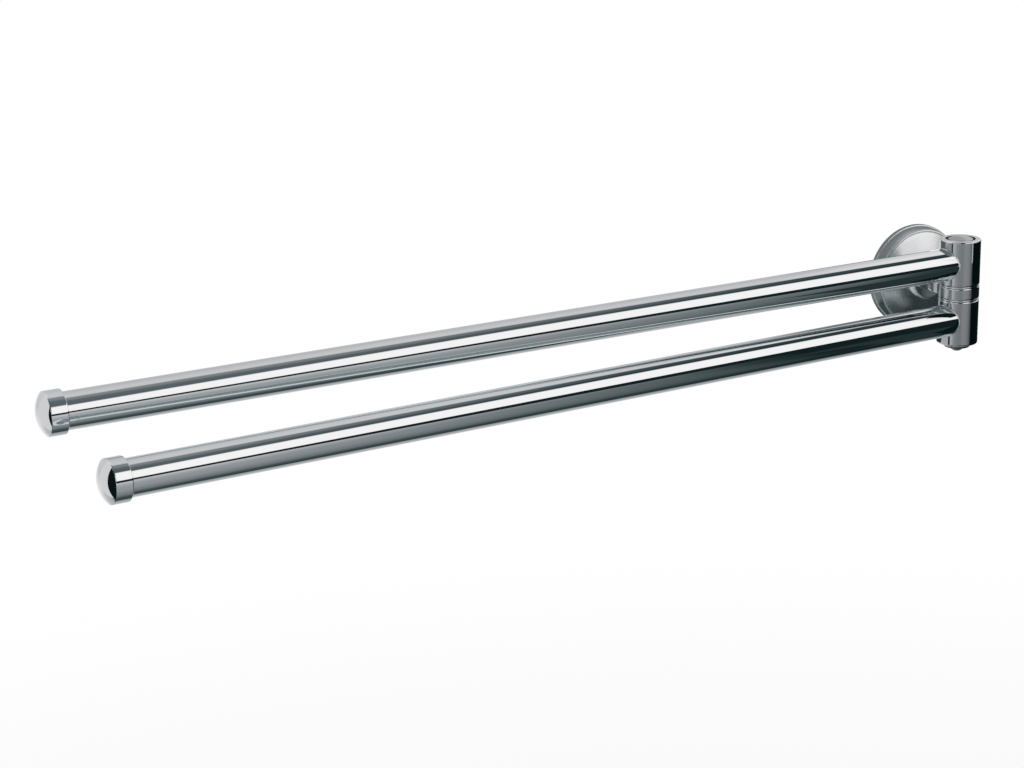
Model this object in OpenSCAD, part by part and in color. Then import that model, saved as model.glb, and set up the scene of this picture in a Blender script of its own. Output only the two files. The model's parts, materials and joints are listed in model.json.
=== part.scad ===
// Swing arm towel bar: two chromed tube arms on one vertical hinge, held by a round wall rose.
// Origin at the middle of the rose's back face, on the wall. +Y goes into the wall, +Z is up.
// Both arms reach towards -X and swing out about the hinge axis.

/* [Arms] */
// Distance from the hinge axis to the rim of the upper arm's end cap
upper_arm_reach = 465; // [200:1:700]
// Distance from the hinge axis to the rim of the lower arm's end cap
lower_arm_reach = 454; // [200:1:700]
// Outer diameter of the arm tubes
tube_d = 16; // [12:0.5:25]
// Wall thickness of the arm tubes
tube_wall = 1; // [0.6:0.1:2]
// How far the upper arm's tip leans down, and the lower arm leans up at the same angle
tip_lean = 4; // [0:0.25:4.5]
// Angle of the upper arm from the wall as stored
upper_rest_angle = 4; // [0:0.5:90]
// Angle of the lower arm from the wall as stored
lower_rest_angle = 8.5; // [0:0.5:90]
// Gap between a tube's coped end and its barrel
cope_gap = 0.15; // [0.05:0.05:0.5]

/* [Arm fixings] */
// Length of the spigot inside the tube, from the barrel's flank
spigot_l = 22; // [14:1:60]
// Diameter of the spigot's tenon in the barrel
tenon_d = 8; // [5:0.5:9]
// Metal left between the tenon hole and the barrel's bore
tenon_web = 1; // [0.5:0.1:1.5]
// Gap all round between the spigot or plug and the tube
insert_gap = 0.05; // [0.02:0.01:0.2]
// Gap all round between a pressed piece and its seat
seat_gap = 0.01; // [0.01:0.01:0.05]
// Diameter of the grub screws in the arms
arm_screw_d = 4; // [3:0.5:5]
// Length of the grub screws in the arms
arm_screw_l = 5; // [3:0.5:6]
// Depth of a grub screw's end below the tube's surface
arm_screw_sink = 0.3; // [0.1:0.1:1]
// Distance from the barrel's flank to the grub screw
arm_screw_x = 12; // [6:0.5:13]
// Gap all round between a grub screw and the hole in the tube
screw_hole_gap = 0.1; // [0.05:0.05:0.3]

/* [End caps] */
// Thickness of a cap's skirt round the tube
cap_wall = 1.4; // [1:0.1:2]
// Length of a cap's skirt
cap_skirt_l = 7.5; // [5:0.5:15]
// Height of the cap's domed face
cap_dome_h = 3.3; // [1:0.1:5]
// Thickness of a cap's end wall behind its rim
cap_end_t = 1.5; // [1:0.1:3]
// Radius of a cap's rounded edges
cap_edge_r = 0.5; // [0.2:0.1:0.9]
// Diameter of the pin inside a cap
cap_pin_d = 6; // [3:0.5:8]
// Length of the pin inside a cap
cap_pin_l = 9; // [4:0.5:11]
// Length of the plug in a tube's end
plug_l = 12; // [11.5:0.5:40]

/* [Hinge] */
// How far a barrel stands out past the tube, each side
knuckle_shoulder = 2; // [1:0.25:5]
// Barrel left between the tube and its inner end
inner_land = 2.5; // [2:0.25:8]
// Barrel left between the tube and its outer end
outer_land = 4.1; // [3:0.1:10]
// Radius of a barrel's rounded ends
knuckle_edge_r = 0.8; // [0.2:0.1:0.8]
// Height of the fixed middle eye
eye_h = 6; // [4:0.5:14]
// Thickness of the bearing washers beside the eye
bearing_washer_t = 0.7; // [0.4:0.1:2]
// How far a bearing washer stays inside the barrels' outline
bearing_washer_inset = 0.1; // [0:0.05:1]
// End play between a washer and a barrel
axial_play = 0.05; // [0.02:0.01:0.2]
// Diameter of the hinge pin
pin_d = 8; // [5:0.5:9]
// Running clearance round the hinge pin
running_gap = 0.05; // [0.02:0.01:0.1]
// Wall thickness of the bushes
bush_wall = 1; // [0.6:0.1:1.5]
// Length of each bush
bush_l = 7; // [4:0.5:8]
// Diameter of the pin's domed head
head_d = 12.3; // [11:0.1:14]
// Gap all round between the head and its recess
recess_gap = 1.2; // [0.5:0.1:1.4]
// Depth of the recess in each barrel's outer end
recess_depth = 2.2; // [1.8:0.1:4]
// Height of the head's dome above the barrel
head_rise = 1.35; // [0.5:0.05:3]
// Radius of the head's rounded edge
head_edge_r = 0.4; // [0.2:0.1:0.6]
// Thickness of the washers under the head and the nut
pin_washer_t = 0.6; // [0.4:0.1:1]
// Diameter of the round cap nut
nut_d = 13; // [11:0.1:14]
// How far the nut stands out below the barrel
nut_proud = 2.1; // [0.8:0.1:4]
// Diameter of the small dome under the nut
nut_dome_d = 7.4; // [5.5:0.1:9]
// Height of the small dome under the nut
nut_dome_h = 2.4; // [0.8:0.1:3]
// Diameter of the pin's threaded end
pin_thread_d = 5; // [4:0.5:5]
// Depth of the thread in the nut
nut_thread_l = 3.2; // [2:0.1:3.5]

/* [Wall side] */
// Distance from the wall to the hinge axis
hinge_offset = 40; // [36:1:80]
// Diameter of the rose
rose_d = 52; // [50:1:80]
// Thickness of the rose's lip at the wall
lip_t = 2.2; // [1.6:0.1:4]
// How far the side band stays inside the lip
band_inset = 0.6; // [0.3:0.1:1]
// How far the groove's middle stays inside the lip
groove_inset = 2.5; // [2.3:0.1:4]
// Half width and depth of the groove
groove_size = 0.3; // [0.2:0.1:0.4]
// Height of the rose at its groove
rose_edge_h = 8; // [7.5:0.1:10]
// Radius of the rounded edge beside the groove
rose_edge_r = 1; // [0.5:0.1:1.2]
// Height of the rose at the collar's seat
rose_pad_h = 11.4; // [11:0.1:14]
// Thickness of the rose's domed front
rose_front_t = 1.5; // [1:0.1:2]
// Diameter of the collar on the rose
collar_d = 19.2; // [17:0.2:24]
// Length of the collar
collar_l = 4; // [3:0.25:8]
// Radius of the collar's rounded front edge
collar_edge_r = 0.9; // [0.3:0.1:1]
// Width of the tongue between the collar and the eye
tongue_w = 12; // [8:0.5:14]
// Depth of the tongue's seat in the collar
tongue_seat = 2; // [1:0.25:2.5]
// Radius of the tongue's rounded sides
tongue_edge_r = 1; // [0.3:0.1:1.5]
// Diameter of the stud that runs back from the tongue
stud_d = 6; // [4:0.5:8]
// Thickness of the washer on the stud
stud_washer_t = 0.9; // [0.5:0.1:1.2]
// Diameter of the washer on the stud
stud_washer_d = 12; // [10.5:0.5:14]
// Width across flats of the stud's nut
stud_nut_af = 10; // [9:0.5:11]
// Height of the stud's nut
stud_nut_h = 4; // [3:0.25:4]
// How far the stud passes through its nut
stud_proud = 0.6; // [0.2:0.1:2]

/* [Wall plate] */
// Thickness of the wall plate
plate_t = 5; // [4:0.25:5]
// Thickness of the rose's lip round the wall plate
lip_wall = 2.85; // [2:0.05:4]
// Gap all round between the plate and the rose
plate_gap = 0.15; // [0.05:0.05:0.4]
// Diameter of the pocket for the stud's nut
pocket_d = 16; // [14:0.5:18]
// Metal left behind the pocket
pocket_web = 2; // [1:0.25:2.5]
// Distance from a screw hole's middle to the plate's edge
screw_edge = 7; // [5:0.25:8]
// Diameter of the screw holes
screw_hole_d = 4.5; // [4:0.1:5.5]
// Diameter of the screw holes' countersinks
countersink_d = 8.6; // [7:0.1:9]
// Diameter of the rose's grub screw
rose_screw_d = 3; // [2:0.5:3]
// Height of the rose's grub screw above the wall
rose_screw_h = 2.6; // [2:0.1:3]
// How far the rose's grub screw bites into the plate
rose_screw_bite = 0.6; // [0.3:0.1:1]
// Depth of the grub screw's end below the rose's side
rose_screw_sink = 0.5; // [0.2:0.1:0.8]

/* [Hidden] */

$fn = 96;
arc_steps = 8;
// A cutting tool runs this far past the face that it opens
past = 1;

tube_r = tube_d / 2;
tube_bore_r = tube_r - tube_wall;
insert_r = tube_bore_r - insert_gap;
cap_r = tube_r + insert_gap + cap_wall;
knuckle_r = tube_r + knuckle_shoulder;
knuckle_h = inner_land + tube_d + outer_land;
knuckle_z = eye_h / 2 + bearing_washer_t + axial_play;
arm_z = knuckle_z + inner_land + tube_r;
knuckle_top = knuckle_z + knuckle_h;
recess_floor = knuckle_top - recess_depth;
arm_tilt = asin(tip_lean / upper_arm_reach);
arm_screw_tip = tube_r - arm_screw_sink - arm_screw_l;

pin_r = pin_d / 2;
bush_r = pin_r + running_gap + bush_wall;
barrel_bore_r = bush_r + seat_gap;
tenon_l = knuckle_r - barrel_bore_r - tenon_web;
head_r = head_d / 2;
recess_r = head_r + recess_gap;
pin_washer_r = recess_r - recess_gap / 4;
head_z = recess_floor + axial_play + pin_washer_t;
nut_bottom = -(knuckle_top + nut_proud);

rose_r = rose_d / 2;
plate_r = rose_r - lip_wall - plate_gap;
groove_r = rose_r - groove_inset;
collar_r = collar_d / 2;
stud_r = stud_d / 2;
collar_front = rose_pad_h + collar_l;
tongue_back = collar_front - tongue_seat;
pad_back = rose_pad_h - rose_front_t;
nut_front = pad_back - stud_washer_t;
stud_end = nut_front - stud_nut_h - stud_proud;

chrome = [0.86, 0.87, 0.88];
steel = [0.62, 0.63, 0.65];
dark_steel = [0.35, 0.36, 0.38];
polymer = [0.92, 0.92, 0.88];

// Distance from the hinge axis to the rim of one arm's end cap
function arm_reach(side) = side > 0 ? upper_arm_reach : lower_arm_reach;

// Points of an arc about (x, y) from one angle to another
function arc(x, y, r, from, to) =
    [for (i = [0 : arc_steps]) let (a = from + (to - from) * i / arc_steps)
        [x + r * cos(a), y + r * sin(a)]];

// Points of a shallow crown that falls from its top on the axis to radius r, h lower
function crown(r, top, h) =
    let (big = (r * r + h * h) / (2 * h), half = asin(r / big))
        [for (i = [0 : arc_steps]) let (a = half * (1 - i / arc_steps))
            [big * sin(a), top - big + big * cos(a)]];

// Points of a domed end: a rounded edge of radius edge that starts at height low
// and runs smoothly into a crown that reaches height top on the axis
function domed_end(r, edge, low, top) =
    let (k = r - edge, t = top - low, big = (k * k + t * t - edge * edge) / (2 * (t - edge)),
        half = asin(k / (big - edge)))
        concat(arc(k, low, edge, 0, 90 - half),
            [for (i = [1 : arc_steps]) let (a = half * (1 - i / arc_steps))
                [big * sin(a), top - big + big * cos(a)]]);

// Places a shape that stands on the wall, its +Z away from the wall
module on_wall() {
    rotate([90, 0, 0]) children();
}

// Places a shape on the hinge axis, at the height of the eye's middle
module on_hinge() {
    translate([0, -hinge_offset, 0]) children();
}

// Mirrors the upper arm's shapes for the lower arm, and turns each arm to its stored angle
module in_arm(side) {
    angle = side > 0 ? upper_rest_angle : lower_rest_angle;
    on_hinge() rotate([0, 0, angle]) mirror([0, 0, side > 0 ? 0 : 1]) children();
}

// Lays a shape's +Z along the upper arm's tube, outwards from the hinge axis
module along_tube() {
    translate([0, 0, arm_z]) rotate([0, -90 - arm_tilt, 0]) children();
}

// A flat ring from z upwards
module ring(outer, inner, z, h) {
    translate([0, 0, z]) difference() {
        cylinder(r = outer, h = h);
        translate([0, 0, -past]) cylinder(r = inner, h = h + 2 * past);
    }
}

// Section of the rose's outside from the lip to the collar's seat
function rose_outside() = concat(
    [[rose_r, 0]],
    arc(rose_r - band_inset, lip_t - band_inset, band_inset, 0, 90),
    arc(groove_r + groove_size - rose_edge_r / 4, rose_edge_h - rose_edge_r, rose_edge_r, 0, 70),
    [[groove_r + groove_size, rose_edge_h],
     [groove_r, rose_edge_h - groove_size],
     [groove_r - groove_size, rose_edge_h]],
    rose_dome(groove_r - groove_size, rose_edge_h, rose_pad_h),
    [[collar_r, rose_pad_h]]
);

// Arc that rises from an outer radius at height low to the axis at height high
function rose_dome(r, low, high) =
    let (h = high - low, big = (r * r + h * h) / (2 * h), inner = asin(collar_r / big), outer = asin(r / big))
        [for (i = [1 : arc_steps]) let (a = outer + (inner - outer) * i / arc_steps)
            [big * sin(a), high - big + big * cos(a)]];

module wall_plate() {
    color(steel) on_wall() difference() {
        cylinder(r = plate_r, h = plate_t);
        translate([0, 0, pocket_web]) cylinder(d = pocket_d, h = plate_t);
        for (side = [-1, 1]) translate([0, side * (plate_r - screw_edge), 0]) {
            translate([0, 0, -past]) cylinder(d = screw_hole_d, h = plate_t + 2 * past);
            sink_h = (countersink_d - screw_hole_d) / 2;
            translate([0, 0, plate_t - sink_h])
                cylinder(d1 = screw_hole_d, d2 = countersink_d, h = sink_h);
            translate([0, 0, plate_t]) cylinder(d = countersink_d, h = past);
        }
        rose_screw_space(0);
    }
}

// The grub screw's own space, below the axis and square to it
module rose_screw_space(gap) {
    translate([0, -plate_r + rose_screw_bite + gap, rose_screw_h]) rotate([90, 0, 0])
        cylinder(d = rose_screw_d + 2 * gap, h = rose_r);
}

module rose() {
    hollow_r = plate_r + plate_gap;
    front_r = groove_r - groove_size - rose_front_t;
    color(chrome) on_wall() difference() {
        rotate_extrude() polygon(concat([[0, 0]], rose_outside(), [[0, rose_pad_h]]));
        rotate_extrude() polygon([
            [0, -past], [hollow_r, -past], [hollow_r, plate_t + plate_gap],
            [front_r, plate_t + plate_gap], [front_r, rose_edge_h - rose_front_t],
            [collar_r, pad_back], [0, pad_back]
        ]);
        cylinder(r = stud_r + seat_gap, h = rose_pad_h + past);
        rose_screw_space(seat_gap);
    }
}

module rose_set_screw() {
    screw_l = rose_r - band_inset - rose_screw_sink - plate_r + rose_screw_bite;
    key_d = rose_screw_d / 2;
    color(dark_steel) on_wall()
        translate([0, -plate_r + rose_screw_bite, rose_screw_h]) rotate([90, 0, 0]) difference() {
            cylinder(d = rose_screw_d, h = screw_l);
            translate([0, 0, screw_l - key_d]) cylinder(d = key_d, h = key_d + past, $fn = 6);
        }
}

// The tongue's section, seen along the stud
module tongue_section(gap) {
    w = tongue_w / 2 - tongue_edge_r;
    h = eye_h / 2 - tongue_edge_r;
    polygon(concat(
        arc(w, h, tongue_edge_r + gap, 0, 90),
        arc(-w, h, tongue_edge_r + gap, 90, 180),
        arc(-w, -h, tongue_edge_r + gap, 180, 270),
        arc(w, -h, tongue_edge_r + gap, 270, 360)
    ));
}

module post_collar() {
    color(chrome) on_wall() difference() {
        rotate_extrude() polygon(concat(
            [[0, rose_pad_h], [collar_r, rose_pad_h]],
            arc(collar_r - collar_edge_r, collar_front - collar_edge_r, collar_edge_r, 0, 90),
            [[0, collar_front]]
        ));
        cylinder(r = stud_r + seat_gap, h = collar_front + past);
        translate([0, 0, tongue_back]) linear_extrude(collar_l) tongue_section(seat_gap);
    }
}

module hinge_eye() {
    color(chrome) difference() {
        union() {
            on_hinge() rotate_extrude() polygon(concat(
                [[0, -eye_h / 2]],
                arc(knuckle_r - knuckle_edge_r, -eye_h / 2 + knuckle_edge_r, knuckle_edge_r, -90, 0),
                arc(knuckle_r - knuckle_edge_r, eye_h / 2 - knuckle_edge_r, knuckle_edge_r, 0, 90),
                [[0, eye_h / 2]]
            ));
            on_wall() translate([0, 0, tongue_back])
                linear_extrude(hinge_offset - tongue_back) tongue_section(0);
            on_wall() translate([0, 0, stud_end]) cylinder(r = stud_r, h = hinge_offset - stud_end);
        }
        on_hinge() translate([0, 0, -eye_h]) cylinder(r = pin_r + seat_gap, h = 2 * eye_h);
    }
}

module stud_washer() {
    color(steel) on_wall() ring(stud_washer_d / 2, stud_r + seat_gap, nut_front, stud_washer_t);
}

module stud_nut() {
    color(steel) on_wall() translate([0, 0, nut_front - stud_nut_h]) difference() {
        cylinder(d = stud_nut_af / cos(30), h = stud_nut_h, $fn = 6);
        translate([0, 0, -past]) cylinder(r = stud_r + seat_gap, h = stud_nut_h + 2 * past);
    }
}

module hinge_pin() {
    thread_end = seat_gap - head_z - nut_thread_l;
    color(chrome) on_hinge() {
        rotate_extrude() polygon(concat(
            [[0, thread_end], [pin_thread_d / 2, thread_end], [pin_thread_d / 2, -head_z],
             [pin_r, -head_z], [pin_r, head_z], [head_r, head_z]],
            domed_end(head_r, head_edge_r, knuckle_top - head_edge_r, knuckle_top + head_rise)
        ));
    }
}

module pin_head_washer() {
    color(steel) on_hinge() ring(pin_washer_r, pin_r + running_gap, recess_floor + axial_play, pin_washer_t);
}

module pin_spring_washer() {
    color(steel) on_hinge() mirror([0, 0, 1])
        ring(pin_washer_r, pin_r + running_gap, recess_floor + axial_play, pin_washer_t);
}

module pin_nut() {
    nut_top = -head_z;
    nut_r = nut_d / 2;
    edge_r = knuckle_edge_r;
    color(chrome) on_hinge() difference() {
        rotate_extrude() polygon(concat(
            [[0, nut_top], [nut_r, nut_top]],
            arc(nut_r - edge_r, nut_bottom + edge_r, edge_r, 0, -90),
            [for (p = crown(nut_dome_d / 2, nut_dome_h, nut_dome_h)) [p[0], nut_bottom - p[1]]]
        ));
        translate([0, 0, nut_top - nut_thread_l])
            cylinder(r = pin_thread_d / 2 + seat_gap, h = nut_thread_l + past);
    }
}

module upper_bearing_washer() {
    color(chrome) on_hinge()
        ring(knuckle_r - bearing_washer_inset, pin_r + running_gap, eye_h / 2, bearing_washer_t);
}

module lower_bearing_washer() {
    color(chrome) on_hinge() mirror([0, 0, 1])
        ring(knuckle_r - bearing_washer_inset, pin_r + running_gap, eye_h / 2, bearing_washer_t);
}

module knuckle(side) {
    color(chrome) in_arm(side) difference() {
        rotate_extrude() polygon(concat(
            [[barrel_bore_r, knuckle_z]],
            arc(knuckle_r - knuckle_edge_r, knuckle_z + knuckle_edge_r, knuckle_edge_r, -90, 0),
            arc(knuckle_r - knuckle_edge_r, knuckle_top - knuckle_edge_r, knuckle_edge_r, 0, 90),
            [[recess_r, knuckle_top], [recess_r, recess_floor], [barrel_bore_r, recess_floor]]
        ));
        along_tube() translate([0, 0, knuckle_r - tenon_l])
            cylinder(d = tenon_d + 2 * seat_gap, h = tenon_l + past);
    }
}

module bushes(side) {
    color(polymer) in_arm(side) {
        ring(bush_r, pin_r + running_gap, knuckle_z, bush_l);
        ring(bush_r, pin_r + running_gap, recess_floor - bush_l, bush_l);
    }
}

// The barrel's outline with a gap, which copes what meets its flank
module barrel_space(gap) {
    cylinder(r = knuckle_r + gap, h = knuckle_top + past);
}

// Lays a shape's +Z along the arm's grub screw, from the tube's axis straight down
module along_arm_screw(side) {
    along_tube() translate([0, 0, knuckle_r + arm_screw_x]) rotate([0, side * -90, 0]) children();
}

// A round bar along the grub screw, from z below the tube's axis
module arm_screw_bar(side, d, z, h) {
    along_arm_screw(side) translate([0, 0, z]) cylinder(d = d, h = h);
}

module tube(side) {
    start = knuckle_r / 2;
    color(chrome) in_arm(side) difference() {
        along_tube() ring(tube_r, tube_bore_r, start, arm_reach(side) - cap_end_t - start);
        barrel_space(cope_gap);
        arm_screw_bar(side, arm_screw_d + 2 * screw_hole_gap, 0, tube_d);
    }
}

module spigot(side) {
    start = knuckle_r / 2;
    color(steel) in_arm(side) difference() {
        union() {
            difference() {
                along_tube() translate([0, 0, start])
                    cylinder(r = insert_r, h = knuckle_r + spigot_l - start);
                barrel_space(seat_gap);
            }
            along_tube() translate([0, 0, knuckle_r - tenon_l + seat_gap])
                cylinder(d = tenon_d, h = tenon_l + past);
        }
        arm_screw_bar(side, arm_screw_d + 2 * seat_gap, arm_screw_tip, tube_d);
    }
}

module spigot_screw(side) {
    key_d = arm_screw_d / 2;
    color(dark_steel) in_arm(side) difference() {
        arm_screw_bar(side, arm_screw_d, arm_screw_tip, arm_screw_l);
        along_arm_screw(side) translate([0, 0, arm_screw_tip + arm_screw_l - key_d])
            cylinder(d = key_d, h = key_d + past, $fn = 6);
    }
}

module end_cap(side) {
    reach = arm_reach(side);
    skirt_start = reach - cap_skirt_l;
    floor = reach - cap_end_t;
    color(chrome) in_arm(side) along_tube() {
        difference() {
            rotate_extrude() polygon(concat(
                [[0, skirt_start]],
                arc(cap_r - cap_edge_r, skirt_start + cap_edge_r, cap_edge_r, -90, 0),
                domed_end(cap_r, cap_edge_r, reach - cap_edge_r, reach + cap_dome_h)
            ));
            translate([0, 0, skirt_start - past])
                cylinder(r = tube_r + insert_gap, h = floor - skirt_start + past);
        }
        translate([0, 0, floor - cap_pin_l]) cylinder(d = cap_pin_d, h = cap_pin_l + cap_end_t / 2);
    }
}

module cap_plug(side) {
    color(polymer) in_arm(side) along_tube()
        ring(insert_r, cap_pin_d / 2 + seat_gap, arm_reach(side) - cap_end_t - plug_l, plug_l);
}

module upper_knuckle() { knuckle(1); }
module upper_bushes() { bushes(1); }
module upper_tube() { tube(1); }
module upper_spigot() { spigot(1); }
module upper_spigot_screw() { spigot_screw(1); }
module upper_end_cap() { end_cap(1); }
module upper_cap_plug() { cap_plug(1); }
module lower_knuckle() { knuckle(-1); }
module lower_bushes() { bushes(-1); }
module lower_tube() { tube(-1); }
module lower_spigot() { spigot(-1); }
module lower_spigot_screw() { spigot_screw(-1); }
module lower_end_cap() { end_cap(-1); }
module lower_cap_plug() { cap_plug(-1); }

wall_plate();
rose();
rose_set_screw();
post_collar();
hinge_eye();
stud_washer();
stud_nut();
hinge_pin();
pin_head_washer();
pin_nut();
pin_spring_washer();
upper_bearing_washer();
lower_bearing_washer();
upper_knuckle();
upper_bushes();
upper_tube();
upper_spigot();
upper_spigot_screw();
upper_end_cap();
upper_cap_plug();
lower_knuckle();
lower_bushes();
lower_tube();
lower_spigot();
lower_spigot_screw();
lower_end_cap();
lower_cap_plug();
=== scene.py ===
"""Looks of the swing arm towel bar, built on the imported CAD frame.

The chromed pieces that show are made again here as smooth surfaces of the same sizes,
so that they mirror a studio cleanly. The fittings that are mostly hidden keep their CAD
shapes and get their finishes. All sizes are metres.
"""

import json
import math

import bmesh
import bpy
import numpy as np
from mathutils import Matrix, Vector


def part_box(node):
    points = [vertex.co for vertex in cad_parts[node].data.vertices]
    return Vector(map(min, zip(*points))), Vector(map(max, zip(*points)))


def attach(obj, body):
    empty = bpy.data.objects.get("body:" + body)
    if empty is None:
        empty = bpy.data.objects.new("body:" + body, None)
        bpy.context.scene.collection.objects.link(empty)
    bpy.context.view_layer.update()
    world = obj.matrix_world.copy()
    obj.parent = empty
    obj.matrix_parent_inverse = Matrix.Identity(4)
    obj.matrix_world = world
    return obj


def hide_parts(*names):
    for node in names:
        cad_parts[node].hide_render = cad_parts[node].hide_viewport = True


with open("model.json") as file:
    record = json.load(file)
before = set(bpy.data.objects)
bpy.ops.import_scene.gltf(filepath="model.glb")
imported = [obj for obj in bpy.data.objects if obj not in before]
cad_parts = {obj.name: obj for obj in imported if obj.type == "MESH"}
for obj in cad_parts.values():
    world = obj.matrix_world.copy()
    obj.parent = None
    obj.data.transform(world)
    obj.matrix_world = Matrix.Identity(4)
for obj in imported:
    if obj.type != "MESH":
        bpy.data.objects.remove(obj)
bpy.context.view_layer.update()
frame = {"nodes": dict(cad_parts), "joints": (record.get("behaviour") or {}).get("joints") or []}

bl_info = {
    "name": "Swing Arm Towel Bar",
    "version": (1, 0, 0),
    "blender": (4, 5, 0),
    "location": "3D View > Sidebar > Towel Bar",
    "description": "Makes the chromed pieces of a swing arm towel bar and its studio",
    "category": "Add Mesh",
}

MM = 0.001
HINGE_Y = float(frame["joints"][0]["pos_m"][1])
ROSE_RADIUS = float(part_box("rose")[1][0])
BARREL_RADIUS = float(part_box("hinge_eye")[1][0])

# Distance from a fold to the row of points that keeps the flat beside it flat
HOLD = 0.06 * MM
# Gap all round between a pressed piece and its seat
SEAT_GAP = 0.01 * MM
# Points once round a turned piece
ROUND = 160
# Angle of straight down about an axis whose second direction is up
DOWN = 1.5 * math.pi
# Degrees through which the rose's edge turns before the groove
ROSE_EDGE_TURN = 70
# Rows along a tube, and rows each side of its screw hole
TUBE_ROWS = 42
HOLE_ROWS = 26
# Distance between rows at the tubes' screw holes
HOLE_ROW_STEP = 1.7 * HOLD
# Points round the thin bead, and the share of its radius that is sunk in the tube
BEAD_POINTS = 20
BEAD_SINK = 0.2
# Painted shade: the share of its colour that the cap nut's chrome keeps, for the shade under the
# hinge, and that the zinc washers inside the recesses keep, for the shade in the recesses
NUT_PAINTED_SHADE = 0.45
RECESS_PAINTED_SHADE = 0.16
# Upright part of a face's direction from which and up to which it counts as a rounded edge,
# which gets the brighter chrome as a painted highlight
HIGHLIGHT_EDGE_LEAN = (0.08, 0.98)
# Strength of the studio's brightest light, and its tint at each strength: slate where it is
# dark, a cool grey between, and white
BRIGHTEST = 1.6
TINTS = (
    (0.010, (0.33, 1.0, 1.05)), (0.020, (0.44, 1.0, 1.05)), (0.055, (0.62, 1.0, 1.05)),
    (0.105, (0.71, 1.0, 1.05)), (0.18, (0.80, 1.0, 1.05)), (0.27, (0.86, 1.0, 1.04)),
    (0.38, (0.90, 1.0, 1.04)), (0.52, (0.93, 1.0, 1.04)), (0.70, (0.97, 1.0, 1.03)),
    (0.95, (1.0, 1.0, 1.02)), (1.30, (1.01, 1.0, 0.99)),
)
WHITE = (1.0, 1.0, 1.0, 1.0)
# Least strength of the light panels, and the share of their light that the black block takes
DARKEST = 0.022
BLOCK_DEPTH = 0.985
# How much a card's strength varies, and the X between which the wall's cards fade out
CARD_CLOUD = 0.08
CARD_FADE = (-0.100, -0.045)


def length(name, description, default):
    """A size in metres that the panel shows in the scene's length unit."""
    return bpy.props.FloatProperty(
        name=name, description=description, default=default, precision=5, unit="LENGTH")


def angle(name, description, degrees):
    """An angle that the panel shows in degrees."""
    return bpy.props.FloatProperty(
        name=name, description=description, default=math.radians(degrees), subtype="ANGLE")


def point(name, description, default):
    """A point in metres."""
    return bpy.props.FloatVectorProperty(
        name=name, description=description, default=default, size=3, precision=5,
        subtype="XYZ", unit="LENGTH")


def tone(name, description, default):
    """A colour that the panel shows as a swatch."""
    return bpy.props.FloatVectorProperty(
        name=name, description=description, default=default, size=3, min=0.0, max=1.0,
        subtype="COLOR")


def share(name, description, default):
    """A number from 0 to 1, such as a roughness."""
    return bpy.props.FloatProperty(
        name=name, description=description, default=default, min=0.0, max=1.0, precision=3,
        subtype="FACTOR")


class TowelBarWallSizes(bpy.types.PropertyGroup):
    """Sizes of the rose, its collar and the tongue behind the hinge."""

    rose_radius: length("Rose radius", "Outer radius of the rose's lip", ROSE_RADIUS)
    foot_edge: length("Foot edge", "Radius of the lip's edge at the wall", 0.1 * MM)
    lip_height: length("Lip height", "Height of the lip above the wall", 2.2 * MM)
    band_inset: length("Band inset", "How far the side band stays inside the lip", 0.6 * MM)
    groove_radius: length("Groove radius", "Radius of the groove's middle", 23.5 * MM)
    groove_size: length("Groove size", "Half width and depth of the groove", 0.3 * MM)
    edge_height: length("Edge height", "Height of the rose at its groove", 8.0 * MM)
    edge_radius: length("Edge radius", "Radius of the edge beside the groove", 1.0 * MM)
    pad_height: length("Pad height", "Height of the rose at the collar's seat", 11.4 * MM)
    pad_inset: length("Pad inset", "How far the flat pad stays inside the collar", 0.2 * MM)
    shell: length("Shell", "Thickness of the rose's domed front", 1.5 * MM)
    hollow_radius: length(
        "Hollow radius", "Radius of the hollow round the wall plate", 23.15 * MM)
    hollow_height: length("Hollow height", "Depth of the hollow round the plate", 5.15 * MM)
    collar_radius: length("Collar radius", "Radius of the collar on the rose", 9.6 * MM)
    collar_height: length("Collar height", "From the wall to the collar's front", 15.4 * MM)
    collar_edge: length("Collar edge", "Radius of the collar's front edge", 0.9 * MM)
    collar_back_edge: length("Collar back edge", "Radius of its edge on the rose", 0.15 * MM)
    tongue_width: length("Tongue width", "Width of the tongue behind the eye", 12.0 * MM)
    tongue_corner: length("Tongue corner", "Radius of the tongue's corners", 1.0 * MM)
    tongue_back: length("Tongue back", "From the wall to the tongue's back", 13.4 * MM)
    tongue_stop: length("Tongue stop", "From the tongue's front to the pin", 1.0 * MM)
    set_screw_height: length(
        "Set screw height", "Height of the grub screw above the wall", 2.6 * MM)
    set_screw_radius: length(
        "Set screw radius", "Radius of the grub screw's hole in the rose", 1.52 * MM)
    set_screw_floor: length(
        "Set screw floor", "Distance from the axis to the hole's floor", 24.2 * MM)
    stud_radius: length("Stud radius", "Radius of the stud behind the tongue", 3.0 * MM)
    stud_end: length("Stud end", "Distance from the wall to the stud's end", 4.4 * MM)


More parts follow.
